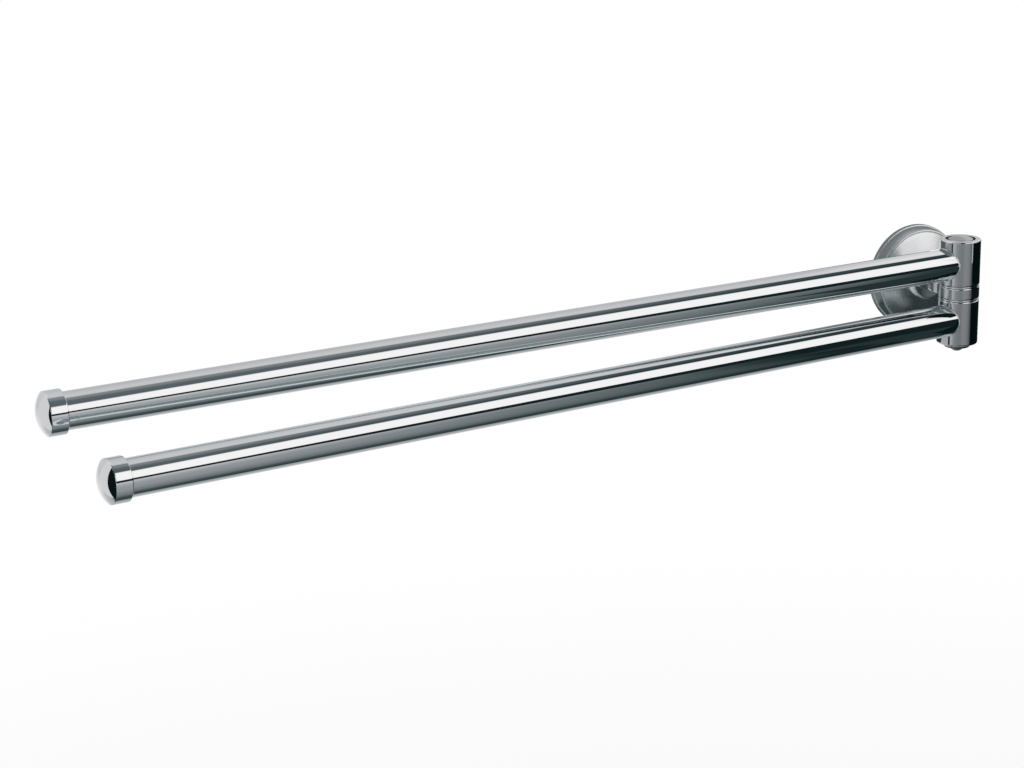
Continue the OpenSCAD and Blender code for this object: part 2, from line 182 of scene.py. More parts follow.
class TowelBarHingeSizes(bpy.types.PropertyGroup):
    """Sizes of the eye, the barrels, the pin and the nut, along the hinge axis."""

    barrel_radius: length("Barrel radius", "Radius of the barrels and the eye", BARREL_RADIUS)
    barrel_edge: length("Barrel edge", "Radius of the barrels' rounded edges", 0.8 * MM)
    barrel_start: length("Barrel start", "Height of a barrel's inner end", 3.75 * MM)
    barrel_end: length("Barrel end", "Height of a barrel's outer end", 26.35 * MM)
    bore_radius: length("Bore radius", "Radius of the bore for the bushes", 5.06 * MM)
    recess_radius: length("Recess radius", "Radius of the recess in a barrel's end", 7.35 * MM)
    recess_floor: length("Recess floor", "Height of the recess's floor", 24.15 * MM)
    recess_edge: length("Recess edge", "Radius of the recess's rounded edge", 0.15 * MM)
    eye_height: length("Eye height", "Height of the fixed middle eye", 6.0 * MM)
    washer_radius: length("Washer radius", "Outer radius of the bearing washers", 9.9 * MM)
    washer_height: length("Washer height", "Thickness of the bearing washers", 0.7 * MM)
    washer_bore: length("Washer bore", "Radius of the hole in the bearing washers", 4.05 * MM)
    washer_edge: length("Washer edge", "Radius of the washers' rounded edges", 0.25 * MM)
    pin_radius: length("Pin radius", "Radius of the hinge pin", 4.0 * MM)
    head_radius: length("Head radius", "Radius of the pin's domed head", 6.15 * MM)
    head_edge: length("Head edge", "Radius of the head's rounded edge", 0.4 * MM)
    head_under: length("Head underside", "Height of the head's underside", 24.8 * MM)
    head_top: length("Head top", "Height of the head's dome", 27.7 * MM)
    thread_radius: length("Thread radius", "Radius of the pin's threaded end", 2.5 * MM)
    thread_length: length("Thread length", "Length of the pin's threaded end", 3.19 * MM)
    nut_radius: length("Nut radius", "Radius of the round cap nut", 6.5 * MM)
    nut_thread: length("Nut thread", "Depth of the thread in the nut", 3.2 * MM)
    nut_bottom: length("Nut bottom", "Depth of the nut's flat end", 28.45 * MM)
    nut_dome_radius: length("Nut dome radius", "Radius of the dome under the nut", 3.7 * MM)
    nut_dome_height: length("Nut dome height", "Height of the dome under the nut", 2.4 * MM)


class TowelBarArmSizes(bpy.types.PropertyGroup):
    """Sizes of the two arms, along their tubes."""

    upper_reach: length("Upper reach", "From the hinge axis to the upper cap's rim", 465.0 * MM)
    lower_reach: length("Lower reach", "From the hinge axis to the lower cap's rim", 454.0 * MM)
    tip_lean: length("Tip lean", "How far the upper arm's tip leans down", 4.0 * MM)
    arm_height: length("Arm height", "Height of a tube's axis at the hinge", 14.25 * MM)
    upper_angle: angle("Upper angle", "Angle of the upper arm from the wall as stored", 4.0)
    lower_angle: angle("Lower angle", "Angle of the lower arm from the wall as stored", 8.5)
    tube_radius: length("Tube radius", "Outer radius of the tubes", 8.0 * MM)
    tube_wall: length("Tube wall", "Wall thickness of the tubes", 1.0 * MM)
    cope_gap: length("Cope gap", "Gap between a tube's coped end and its barrel", 0.15 * MM)
    cope_edge: length("Cope edge", "Radius of a tube's rounded coped edge", 0.35 * MM)
    bead_radius: length("Bead radius", "Radius of the thin bead along the cope", 0.30 * MM)
    screw_distance: length(
        "Screw distance", "From the barrel's flank to the grub screw", 12.0 * MM)
    screw_hole_radius: length(
        "Screw hole radius", "Radius of the grub screw's hole", 2.1 * MM)
    cap_radius: length("Cap radius", "Outer radius of the end caps", 9.45 * MM)
    cap_bore: length("Cap bore", "Inner radius of a cap's skirt", 8.05 * MM)
    cap_skirt: length("Cap skirt", "Length of a cap's skirt", 7.5 * MM)
    cap_dome: length("Cap dome", "Height of a cap's domed face", 3.3 * MM)
    cap_end: length("Cap end", "Thickness of a cap's end wall", 1.5 * MM)
    cap_edge: length("Cap edge", "Radius of a cap's rounded edges", 0.5 * MM)
    cap_pin_radius: length("Cap pin radius", "Radius of the pin inside a cap", 3.0 * MM)
    cap_pin_length: length("Cap pin length", "Length of the pin inside a cap", 9.0 * MM)


class TowelBarFinishes(bpy.types.PropertyGroup):
    """Colours and roughness of the finishes."""

    chrome: tone("Chrome", "Colour that polished chrome mirrors with", (0.580, 0.586, 0.592))
    # The barrel chrome is darker than the chrome above as painted shade, for the darker
    # surroundings that the hinge mirrors
    shaded_barrel_chrome: tone(
        "Barrel chrome", "Colour of the hinge barrels' chrome", (0.330, 0.337, 0.343))
    tube_roughness: share("Tube roughness", "Roughness of the polished tubes", 0.030)
    barrel_roughness: share("Barrel roughness", "Roughness of the hinge pieces", 0.060)
    rose_roughness: share("Rose roughness", "Roughness of the rose's softer polish", 0.280)
    zinc: tone("Zinc", "Colour of the zinc plated steel", (0.50, 0.51, 0.52))
    oxide: tone("Black oxide", "Colour of the blackened grub screws", (0.045, 0.046, 0.050))
    acetal: tone("Acetal", "Colour of the bushes and cap plugs", (0.80, 0.79, 0.74))


class TowelBarStudio(bpy.types.PropertyGroup):
    """Camera, floor, light panels and cards."""

    camera_place: point(
        "Camera place", "Where the camera stands", (-0.654257, -0.948352, 0.270213))
    camera_turn: bpy.props.FloatVectorProperty(
        name="Camera turn", description="Heading from +Y, downward tilt and roll", size=3,
        default=(0.424770, 0.278827, -0.018576), subtype="EULER")
    camera_lens: bpy.props.FloatProperty(
        name="Lens", description="Focal length on a 36 mm wide sensor", default=80.25,
        subtype="DISTANCE_CAMERA", unit="CAMERA")
    floor_height: length("Floor height", "Height of the floor below the hinge", -0.85)
    floor_tone: tone("Floor tone", "Colour of the floor", (0.90, 0.90, 0.90))
    panel_distance: length("Panel distance", "Radius of the sphere of light panels", 1.5)
    softbox: bpy.props.FloatProperty(
        name="Softbox", description="Brightness of the softbox that the chrome mirrors",
        default=1.52, min=0.0)
    # The cards below glow only in the chrome, as painted reflections of the light and shade
    # round the bar
    side_card: point(
        "Side card", "Front low corner of the black card by the tips", (-0.616, -0.085, -0.28))
    wall_card: point(
        "Wall card", "Left low corner of the grey wall behind the rose", (-0.10, 0.0005, -0.040))
    low_card: point(
        "Low card", "Front left corner of the slate card under the hinge",
        (0.015, -0.200, -0.080))
    glint_card: point(
        "Glint card", "Left low corner of the white card before the rose",
        (0.018, -0.075, 0.0085))
    back_card: point(
        "Back card", "Left low corner of the white card between rose and hinge",
        (-0.010, -0.0285, 0.009))
    under_card: point(
        "Under card", "Left low corner of the slate card under the lower arm",
        (-0.020, -0.075, -0.085))
    foot_card: point(
        "Foot card", "Left low corner of the slate card on the wall below the rose",
        (-0.060, 0.0004, -0.040))
    high_flank_card: point(
        "High flank card", "Front low corner of the black card beside the upper barrel",
        (0.0145, -0.066, 0.0015))
    low_flank_card: point(
        "Low flank card", "Front top corner of the black card beside the lower barrel",
        (0.0145, -0.066, -0.0085))


def bend(r, h, radius, start, end, steps=10):
    """Points of an arc about (r, h), from one angle in degrees to another."""
    a = np.radians(np.linspace(start, end, steps + 1))
    return np.stack([r + radius * np.cos(a), h + radius * np.sin(a)], axis=1)


def rounded_side(radius, edge, low, high):
    """Outer side of a turned piece from low to high, with both of its edges rounded."""
    rim = radius - edge
    return np.vstack([
        bend(rim, low + edge, edge, -90, 0), bend(rim, high - edge, edge, 0, 90)])


def crown(radius, top, drop, inner=0.0, steps=28):
    """Arc of a shallow dome: it falls by drop from height top on the axis to radius.

    With R = (radius^2 + drop^2) / (2 drop), a point at angle a is (R sin a, top - R + R cos a).
    """
    big = (radius * radius + drop * drop) / (2 * drop)
    a = np.linspace(math.asin(radius / big), math.asin(inner / big), steps + 1)
    return np.stack([big * np.sin(a), top - big + big * np.cos(a)], axis=1)


def domed_end(radius, edge, low, top, steps=28):
    """A rounded edge that starts at height low and runs smoothly into a dome up to top.

    The edge's arc and the dome's big arc touch where both have the same slope.
    """
    k = radius - edge
    t = top - low
    big = (k * k + t * t - edge * edge) / (2 * (t - edge))
    half = math.asin(k / (big - edge))
    rim = bend(k, low, edge, 0, 90 - math.degrees(half))
    a = np.linspace(half, 0, steps + 1)[1:]
    dome = np.stack([big * np.sin(a), top - big + big * np.cos(a)], axis=1)
    return np.vstack([rim, dome])


def profile_of(closed, *parts):
    """Joins parts into one profile, and keeps its long straight runs flat.

    Each run longer than 5 HOLD gets a point HOLD from each of its ends.
    """
    points = np.vstack([np.asarray(part, dtype=float) for part in parts])
    after = np.roll(points, -1, axis=0)
    step = after - points
    size = np.linalg.norm(step, axis=1)
    long = size > 5 * HOLD
    if not closed:
        long[-1] = False
    part = np.where(long, HOLD / np.maximum(size, 1e-9), 0.0)[:, None]
    rows = np.stack([points, points + step * part, after - step * part], axis=1)
    keep = np.stack([np.ones(len(points), bool), long, long], axis=1)
    return rows[keep]


def placed(origin, axis, first):
    """A place: its origin, its axis, and two directions square to it, right handed."""
    axis = np.asarray(axis, dtype=float)
    first = np.asarray(first, dtype=float)
    return np.asarray(origin, dtype=float), axis, first, np.cross(axis, first)


def on_wall():
    """Place with its origin on the wall behind the rose, and its axis into the room."""
    return placed((0, 0, 0), (0, -1, 0), (1, 0, 0))


def on_hinge(side=1):
    """Place on the hinge axis at the eye's middle, its axis up for 1 and down for -1."""
    return placed((0, HINGE_Y, 0), (0, 0, side), (1, 0, 0))


def arm_reach(sizes, side):
    """Reach of the upper arm for 1 and of the lower arm for -1."""
    return sizes.upper_reach if side > 0 else sizes.lower_reach


def arm_lean(sizes):
    """Angle at which the upper arm leans down and the lower arm leans up."""
    return math.asin(sizes.tip_lean / sizes.upper_reach)


def along_arm(sizes, side):
    """Place at the start of an arm's axis. Its first direction is level, towards the room."""
    turn = sizes.upper_angle if side > 0 else sizes.lower_angle
    lean = arm_lean(sizes)
    axis = (-math.cos(turn) * math.cos(lean), -math.sin(turn) * math.cos(lean),
            -side * math.sin(lean))
    origin = (0, HINGE_Y, side * sizes.arm_height)
    return placed(origin, axis, (math.sin(turn), -math.cos(turn), 0))


def round_angles(half=0.0, step=0.1):
    """Even angles once round, with finer ones within half of straight down."""
    even = np.linspace(0, 2 * math.pi, ROUND, endpoint=False)
    if half == 0.0:
        return even
    return np.union1d(even, np.arange(DOWN - half, DOWN + half, step))


def finer(points, start, end, step):
    """Adds a point every step along a profile, between two of its points."""
    along = np.append(0, np.cumsum(np.linalg.norm(np.diff(points, axis=0), axis=1)))
    places = np.union1d(along, np.arange(along[start], along[end], step))
    return np.stack([np.interp(places, along, points[:, k]) for k in (0, 1)], axis=1)


def drilled(radii, heights, v, centre, hole, floor):
    """Radii with a round hole sunk straight down into the surface, to the floor's radius.

    With d the distance along the surface from the hole's middle, sqrt((h - centre)^2 +
    (r (v - down))^2), the radius falls to the floor where d is less than the hole's radius.
    """
    d = np.hypot(heights - centre, radii * (v - DOWN)[None, :])
    edge = np.clip((d - hole) / (1.5 * HOLD), 0.0, 1.0)
    return np.where(radii > floor, floor + (radii - floor) * edge, radii)


def turned(place, radii, heights, v):
    """Surface round an axis on a grid of rows u and angles v.

    point(u, v) = origin + h(u, v) axis + r(u, v) (cos v first + sin v second). Radii and
    heights have one column for all angles, or one for each.
    """
    origin, axis, first, second = place
    ring = np.cos(v)[:, None] * first + np.sin(v)[:, None] * second
    return origin + heights[:, :, None] * axis + radii[:, :, None] * ring[None]


def lathed(place, profile):
    """Surface of revolution of a profile of (radius, height) points."""
    return turned(place, profile[:, :1], profile[:, 1:], round_angles())


def swept(place, outline, heights, scales):
    """A closed outline carried along an axis.

    point(u, v) = origin + heights(u) axis + scales(u) (x(v) first + y(v) second).
    """
    origin, axis, first, second = place
    flat = outline[:, :1] * first + outline[:, 1:] * second
    heights = np.asarray(heights)[:, None, None]
    return origin + heights * axis + np.asarray(scales)[:, None, None] * flat[None]


def grid_faces(rows, columns, closed, start):
    """Quads of a grid that closes round its columns, and round its rows if closed."""
    i = np.arange(rows if closed else rows - 1)[:, None]
    j = np.arange(columns)[None, :]
    i2 = (i + 1) % rows
    j2 = (j + 1) % columns
    corners = [i * columns + j, i * columns + j2, i2 * columns + j2, i2 * columns + j]
    return np.stack(corners, axis=2).reshape(-1, 4) + start


def open_grid_faces(rows, columns):
    """Quads of a plain open grid."""
    i, j = np.meshgrid(np.arange(rows - 1), np.arange(columns - 1), indexing="ij")
    corner = i * columns + j
    corners = [corner, corner + columns, corner + columns + 1, corner + 1]
    return np.stack(corners, axis=2).reshape(-1, 4)


def smooth_mesh(name, points, faces, material):
    """A mesh of points and faces with smooth shading and one finish."""
    mesh = bpy.data.meshes.new(name)
    mesh.from_pydata(points, [], faces.tolist())
    mesh.polygons.foreach_set("use_smooth", np.ones(len(mesh.polygons), dtype=bool))
    mesh.materials.append(material)
    return mesh


def linked(name, data):
    """An object with that mesh, lamp or camera, in the scene."""
    piece = bpy.data.objects.new(name, data)
    bpy.context.scene.collection.objects.link(piece)
    return piece


def chromed_piece(name, shells, body, nodes, material, highlight_edge_material=None):
    """Makes one object from grids, welds its poles, and gives it a body and a finish.

    A highlight edge material, the brighter chrome painted on as a highlight, goes on the faces
    that lean between level and upright.
    """
    points = []
    faces = []
    count = 0
    for grid, closed in shells:
        rows, columns = grid.shape[:2]
        points.append(grid.reshape(-1, 3))
        faces.append(grid_faces(rows, columns, closed, count))
        count += rows * columns
    mesh = smooth_mesh(name, np.vstack(points), np.vstack(faces), material)
    welded = bmesh.new()
    welded.from_mesh(mesh)
    bmesh.ops.remove_doubles(welded, verts=welded.verts, dist=1e-7)
    welded.to_mesh(mesh)
    welded.free()
    mesh.validate()
    if highlight_edge_material is not None:
        mesh.materials.append(highlight_edge_material)
        normals = np.zeros(len(mesh.polygons) * 3)
        mesh.polygons.foreach_get("normal", normals)
        lean = np.abs(normals.reshape(-1, 3)[:, 2])
        on_highlight_edge = (lean > HIGHLIGHT_EDGE_LEAN[0]) & (lean < HIGHLIGHT_EDGE_LEAN[1])
        mesh.polygons.foreach_set("material_index", on_highlight_edge.astype(np.int32))
    piece = linked(name, mesh)
    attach(piece, body)
    if nodes:
        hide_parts(*nodes)


def opaque(colour, shade=1.0):
    """A colour times a shade, with full alpha."""
    return (*(part * shade for part in colour), 1.0)


class Shader:
    """Small helper that adds nodes to one material or world and links them."""

    def __init__(self, tree):
        self.tree = tree
        self.tree.nodes.clear()

    def add(self, kind, inputs=None, **settings):
        """Adds a node, sets its properties, then sets or links its inputs by name or index."""
        node = self.tree.nodes.new(kind)
        for key, value in settings.items():
            setattr(node, key, value)
        for key, value in (inputs or {}).items():
            socket = node.inputs[key]
            if isinstance(value, bpy.types.NodeSocket):
                self.tree.links.new(value, socket)
            else:
                socket.default_value = value
        return node

    def maths(self, operation, a, b=0.0):
        """One Math node's result."""
        return self.add("ShaderNodeMath", {0: a, 1: b}, operation=operation).outputs[0]

    def times(self, first, *others):
        """A product of values."""
        for other in others:
            first = self.maths("MULTIPLY", first, other)
        return first

    def rest(self, value):
        """What a value lacks to 1."""
        return self.maths("SUBTRACT", 1.0, value)

    def spread(self, value, low, high, to_low, to_high, smooth=False):
        """A value's range mapped onto another."""
        return self.add("ShaderNodeMapRange", {
            "Value": value, "From Min": low, "From Max": high, "To Min": to_low,
            "To Max": to_high}, interpolation_type="SMOOTHSTEP" if smooth else "LINEAR",
        ).outputs["Result"]

    def ramp(self, value, stops):
        """A ramp through (position, grey) or (position, (red, green, blue)) stops."""
        node = self.add("ShaderNodeValToRGB", {"Fac": value})
        elements = node.color_ramp.elements
        while len(elements) < len(stops):
            elements.new(0.5)
        places, colours = zip(*stops)
        for element, place in zip(elements, places):
            element.position = place
        for element, colour in zip(elements, colours):
            element.color = opaque(colour if isinstance(colour, tuple) else (colour,) * 3)
        return node.outputs["Color"]

    def mix(self, factor, low, high, blend="MIX"):
        """A colour between two, or another blend of them."""
        return self.add("ShaderNodeMix", {"Factor": factor, "A": low, "B": high},
                        data_type="RGBA", blend_type=blend).outputs["Result"]

    def place(self):
        """Where a point of the object is, in metres."""
        return self.add("ShaderNodeTexCoord").outputs["Object"]

    def noise(self, place, scale, detail, roughness=0.5):
        """Cloudy noise round a half."""
        return self.add("ShaderNodeTexNoise", {
            "Vector": place, "Scale": scale, "Detail": detail, "Roughness": roughness,
        }).outputs["Fac"]

    def bounced(self):
        """0 where chrome mirrors a light itself, 1 where it mirrors chrome that mirrors it."""
        depth = self.maths("SUBTRACT", self.add("ShaderNodeLightPath").outputs["Ray Depth"], 1.0)
        return self.maths("MINIMUM", self.maths("MAXIMUM", depth, 0.0), 1.0)

    def seen_directly(self):
        """1 for camera, glossy and transmission rays, 0 for the others."""
        path = self.add("ShaderNodeLightPath").outputs
        total = self.maths("ADD", path["Is Camera Ray"], path["Is Glossy Ray"])
        return self.maths(
            "MINIMUM", self.maths("ADD", total, path["Is Transmission Ray"]), 1.0)

    def coat(self, colour, metallic, rough, height, bump, depth):
        """The material's surface, with a bump of that strength and depth from a height."""
        normal = self.add("ShaderNodeBump", {
            "Height": height, "Strength": bump, "Distance": depth}).outputs["Normal"]
        self.output(self.add("ShaderNodeBsdfPrincipled", {
            "Base Color": colour, "Metallic": metallic, "Roughness": rough, "Normal": normal,
        }).outputs[0])

    def output(self, surface, kind="ShaderNodeOutputMaterial"):
        """The material's or world's output."""
        self.add(kind, {"Surface": surface})


def finish_named(name):
    """The material under that name, new or emptied, and its helper."""
    material = bpy.data.materials.get(name) or bpy.data.materials.new(name)
    material.use_nodes = True
    return material, Shader(material.node_tree)


def chrome_finish(name, colour, roughness, haze, wave=1.0, shade=1.0):
    """Polished chrome: a cloudy polish haze in the roughness and a very slight ripple."""
    material, shader = finish_named(name)
    place = shader.place()
    cloud = shader.noise(place, scale=95.0, detail=5.0, roughness=0.6)
    fine = shader.noise(place, scale=2400.0, detail=2.0)
    mixed = shader.maths("ADD", shader.times(cloud, 0.7), shader.times(fine, 0.3))
    rough = shader.spread(mixed, 0.35, 0.65, roughness * (1 - haze), roughness * (1 + haze))
    ripple = shader.noise(place, scale=150.0, detail=2.0)
    shader.coat(opaque(colour, shade), 1.0, rough, ripple, bump=0.15 * wave, depth=0.000012)
    return material


def steel_finish(name, colour, roughness, metallic, bloom, shade=1.0):
    """Plated or blackened steel: spangled tone and roughness with a fine grain."""
    material, shader = finish_named(name)
    place = shader.place()
    cells = shader.add("ShaderNodeTexVoronoi", {"Vector": place, "Scale": 900.0})
    cloud = shader.noise(place, scale=220.0, detail=6.0)
    grain = shader.noise(place, scale=5200.0, detail=3.0)
    amount = shader.maths(
        "ADD", shader.times(cells.outputs["Distance"], 0.4), shader.times(cloud, 0.6))
    tint = shader.mix(
        amount, opaque(colour, shade * (1 - bloom)), opaque(colour, shade * (1 + bloom)))
    rough = shader.spread(cloud, 0.3, 0.7, roughness * 0.8, roughness * 1.2)
    shader.coat(tint, metallic, rough, grain, bump=0.3, depth=0.00002)
    return material


def acetal_finish(name, colour):
    """Machined acetal: off white and waxy, with a faint cloud and fine tool marks."""
    material, shader = finish_named(name)
    place = shader.place()
    cloud = shader.noise(place, scale=300.0, detail=4.0)
    marks = shader.noise(place, scale=3000.0, detail=2.0)
    tint = shader.mix(cloud, opaque(colour, 0.93), opaque(colour))
    rough = shader.spread(marks, 0.3, 0.7, 0.38, 0.5)
    shader.coat(tint, 0.0, rough, marks, bump=0.2, depth=0.00002)
    return material


def tube_chrome(finishes):
    """Chrome of the tubes and caps, which also goes on the washers and, as a painted highlight,
    on the hinge pieces' rounded edges.
    """
    return chrome_finish("tube_chrome", finishes.chrome, finishes.tube_roughness, haze=0.35)


def shaded_barrel_chrome(finishes):
    """Chrome of the hinge pieces, darker than the tubes' chrome: painted shade for the darker
    surroundings that the hinge mirrors.
    """
    return chrome_finish(
        "shaded_barrel_chrome", finishes.shaded_barrel_chrome, finishes.barrel_roughness, haze=0.3)


def shaded_nut_chrome(finishes):
    """Chrome of the cap nut: the barrels' shaded chrome darkened further as painted shade for
    the shade under the hinge.
    """
    return chrome_finish("shaded_nut_chrome", finishes.shaded_barrel_chrome, finishes.barrel_roughness,
                         haze=0.3, shade=NUT_PAINTED_SHADE)


def rose_chrome(finishes):
    """Softer chrome of the rose and its collar."""
    return chrome_finish(
        "rose_chrome", finishes.chrome, finishes.rose_roughness, haze=0.06, wave=0.3)


class TOWELBAR_OT_rose(bpy.types.Operator):
    """Make the rose as one closed turned shell, hollow behind its dome"""

    bl_idname = "towelbar.rose"
    bl_label = "Rose"

    def execute(self, context):
        size = context.scene.towelbar_wall
        inset = size.band_inset
        groove = size.groove_size
        foot_edge = size.foot_edge
        edge = size.edge_radius
        outer = size.groove_radius + groove
        inner = size.groove_radius - groove
        front = inner - size.shell
        hole = size.stud_radius + SEAT_GAP
        foot = bend(size.rose_radius - foot_edge, foot_edge, foot_edge, -90, 0, 4)
        lip = bend(size.rose_radius - inset, size.lip_height - inset, inset, 0, 90)
        band = bend(outer - edge / 4, size.edge_height - edge, edge, 0, ROSE_EDGE_TURN)
        # The grub screw's hole lies on the lip and the side band, so that part gets more rows
        side = finer(np.vstack([foot, lip, band]), len(foot) - 1, len(foot) + len(lip), 2 * HOLD)
        dome = crown(inner, size.pad_height, size.pad_height - size.edge_height,
                     size.collar_radius, 40)
        profile = profile_of(
            True,
            [[size.hollow_radius, 0]],
            side,
            [[outer, size.edge_height],
             [size.groove_radius + groove / 3, size.edge_height - groove],
             [size.groove_radius - groove / 3, size.edge_height - groove],
             [inner, size.edge_height]],
            dome,
            [[size.collar_radius - size.pad_inset, size.pad_height],
             [hole, size.pad_height],
             [hole, size.pad_height - size.shell],
             [size.collar_radius, size.pad_height - size.shell],
             [front, size.edge_height - size.shell],
             [front, size.hollow_height],
             [size.hollow_radius, size.hollow_height]],
        )
        v = round_angles(half=0.08, step=0.005)
        heights = profile[:, 1:]
        radii = drilled(profile[:, :1], heights, v, size.set_screw_height,
                        size.set_screw_radius, size.set_screw_floor)
        chromed_piece("rose_shell", [(turned(on_wall(), radii, heights, v), True)],
                      "root", ["rose"], rose_chrome(context.scene.towelbar_finishes))
        return {"FINISHED"}


class TOWELBAR_OT_collar(bpy.types.Operator):
    """Make the collar on the rose, the fixed eye, its tongue and its stud"""

    bl_idname = "towelbar.collar"
    bl_label = "Collar and eye"

    def execute(self, context):
        wall = context.scene.towelbar_wall
        hinge = context.scene.towelbar_hinge
        finishes = context.scene.towelbar_finishes
        bore = wall.stud_radius + SEAT_GAP
        edge = wall.collar_edge
        back_edge = wall.collar_back_edge
        collar = profile_of(
            True,
            [[bore, wall.pad_height]],
            bend(wall.collar_radius - back_edge, wall.pad_height + back_edge, back_edge,
                 -90, 0, 4),
            bend(wall.collar_radius - edge, wall.collar_height - edge, edge, 0, 90, 14),
            [[bore, wall.collar_height]],
        )
        chromed_piece("collar_ring", [(lathed(on_wall(), collar), True)],
                      "root", ["post_collar"], rose_chrome(finishes))

        half = hinge.eye_height / 2
        hole = hinge.pin_radius + SEAT_GAP
        eye = profile_of(
            True,
            [[hole, -half]],
            rounded_side(hinge.barrel_radius, hinge.barrel_edge, -half, half),
            [[hole, half]],
        )
        corner = wall.tongue_corner
        x = wall.tongue_width / 2 - corner
        y = half - corner
        outline = profile_of(
            True,
            bend(x, y, corner, 0, 90), bend(-x, y, corner, 90, 180),
            bend(-x, -y, corner, 180, 270), bend(x, -y, corner, 270, 360),
        )
        back = wall.tongue_back
        front = -HINGE_Y - hinge.pin_radius - wall.tongue_stop
        tongue = swept(on_wall(), outline, [back, back, front, front], [0, 1, 1, 0])
        stud = profile_of(False, [
            [0, wall.stud_end], [wall.stud_radius, wall.stud_end],
            [wall.stud_radius, back], [0, back]])
        shells = [
            (lathed(on_hinge(), eye), True),
            (tongue, False),
            (lathed(on_wall(), stud), False),
        ]
        # The eye's and tongue's rounded edges get the tubes' brighter chrome as a painted
        # highlight
        chromed_piece("eye_and_tongue", shells, "root", ["hinge_eye"],
                      shaded_barrel_chrome(finishes), tube_chrome(finishes))
        return {"FINISHED"}


class TOWELBAR_OT_washers(bpy.types.Operator):
    """Make the two thin bright washers between the eye and the barrels"""

    bl_idname = "towelbar.washers"
    bl_label = "Bearing washers"

    def execute(self, context):
        hinge = context.scene.towelbar_hinge
        finish = tube_chrome(context.scene.towelbar_finishes)
        low = hinge.eye_height / 2
        high = low + hinge.washer_height
        profile = profile_of(
            True,
            [[hinge.washer_bore, low]],
            rounded_side(hinge.washer_radius, hinge.washer_edge, low, high),
            [[hinge.washer_bore, high]],
        )
        for side, name in ((1, "upper_bearing_washer"), (-1, "lower_bearing_washer")):
            chromed_piece(name + "_ring", [(lathed(on_hinge(side), profile), True)],
                          "root", [name], finish)
        return {"FINISHED"}


class TOWELBAR_OT_barrels(bpy.types.Operator):
    """Make the two hinge barrels with their recessed outer ends"""

    bl_idname = "towelbar.barrels"
    bl_label = "Barrels"

    def execute(self, context):
        hinge = context.scene.towelbar_hinge
        finish = shaded_barrel_chrome(context.scene.towelbar_finishes)
        # The tubes' brighter chrome goes on the barrels' rounded edges as a painted highlight
        bright = tube_chrome(context.scene.towelbar_finishes)
        lip = hinge.recess_edge
        profile = profile_of(
            True,
            [[hinge.bore_radius, hinge.barrel_start]],
            rounded_side(hinge.barrel_radius, hinge.barrel_edge,
                         hinge.barrel_start, hinge.barrel_end),
            bend(hinge.recess_radius + lip, hinge.barrel_end - lip, lip, 90, 180, 6),
            [[hinge.recess_radius, hinge.recess_floor],
             [hinge.bore_radius, hinge.recess_floor]],
        )
        for side, arm in ((1, "upper"), (-1, "lower")):
            chromed_piece(arm + "_barrel", [(lathed(on_hinge(side), profile), True)],
                          arm + "_arm", [arm + "_knuckle"], finish, bright)
        return {"FINISHED"}


class TOWELBAR_OT_pin(bpy.types.Operator):
    """Make the hinge pin with its domed head, and the stepped cap nut under it"""

    bl_idname = "towelbar.pin"
    bl_label = "Pin and nut"

    def execute(self, context):
        hinge = context.scene.towelbar_hinge
        finishes = context.scene.towelbar_finishes
        under = hinge.head_under
        tip = -under - hinge.thread_length
        pin = profile_of(
            False,
            [[0, tip], [hinge.thread_radius, tip], [hinge.thread_radius, -under],
             [hinge.pin_radius, -under], [hinge.pin_radius, under],
             [hinge.head_radius, under]],
            domed_end(hinge.head_radius, hinge.head_edge,
                      hinge.barrel_end - hinge.head_edge, hinge.head_top),
        )
        chromed_piece("pin_with_head", [(lathed(on_hinge(), pin), False)],
                      "root", ["hinge_pin"], shaded_barrel_chrome(finishes))
        edge = hinge.barrel_edge
        hole = hinge.thread_radius + SEAT_GAP
        bottom = hinge.nut_bottom
        depth = under + hinge.nut_thread
        nut = profile_of(
            False,
            [[0, depth], [hole, depth], [hole, under], [hinge.nut_radius, under]],
            bend(hinge.nut_radius - edge, bottom - edge, edge, 0, 90),
            crown(hinge.nut_dome_radius, bottom + hinge.nut_dome_height,
                  hinge.nut_dome_height),
        )
        chromed_piece("pin_cap_nut", [(lathed(on_hinge(-1), nut), False)],
                      "root", ["pin_nut"], shaded_nut_chrome(finishes))
        return {"FINISHED"}


def tube_start(size, radii, side, v):
    """Distance along an arm at which a tube wall of each radius meets its barrel.

    With lateral offset r cos v and clearance radius R, the start is
    (sqrt(R^2 - (r cos v)^2) - side r sin v sin lean) / cos lean.
    """
    lean = arm_lean(size)
    clear = BARREL_RADIUS + size.cope_gap
    lateral = radii * np.cos(v)[None, :]
    rise = radii * np.sin(v)[None, :]
    return (np.sqrt(clear ** 2 - lateral ** 2) - side * rise * math.sin(lean)) / math.cos(lean)


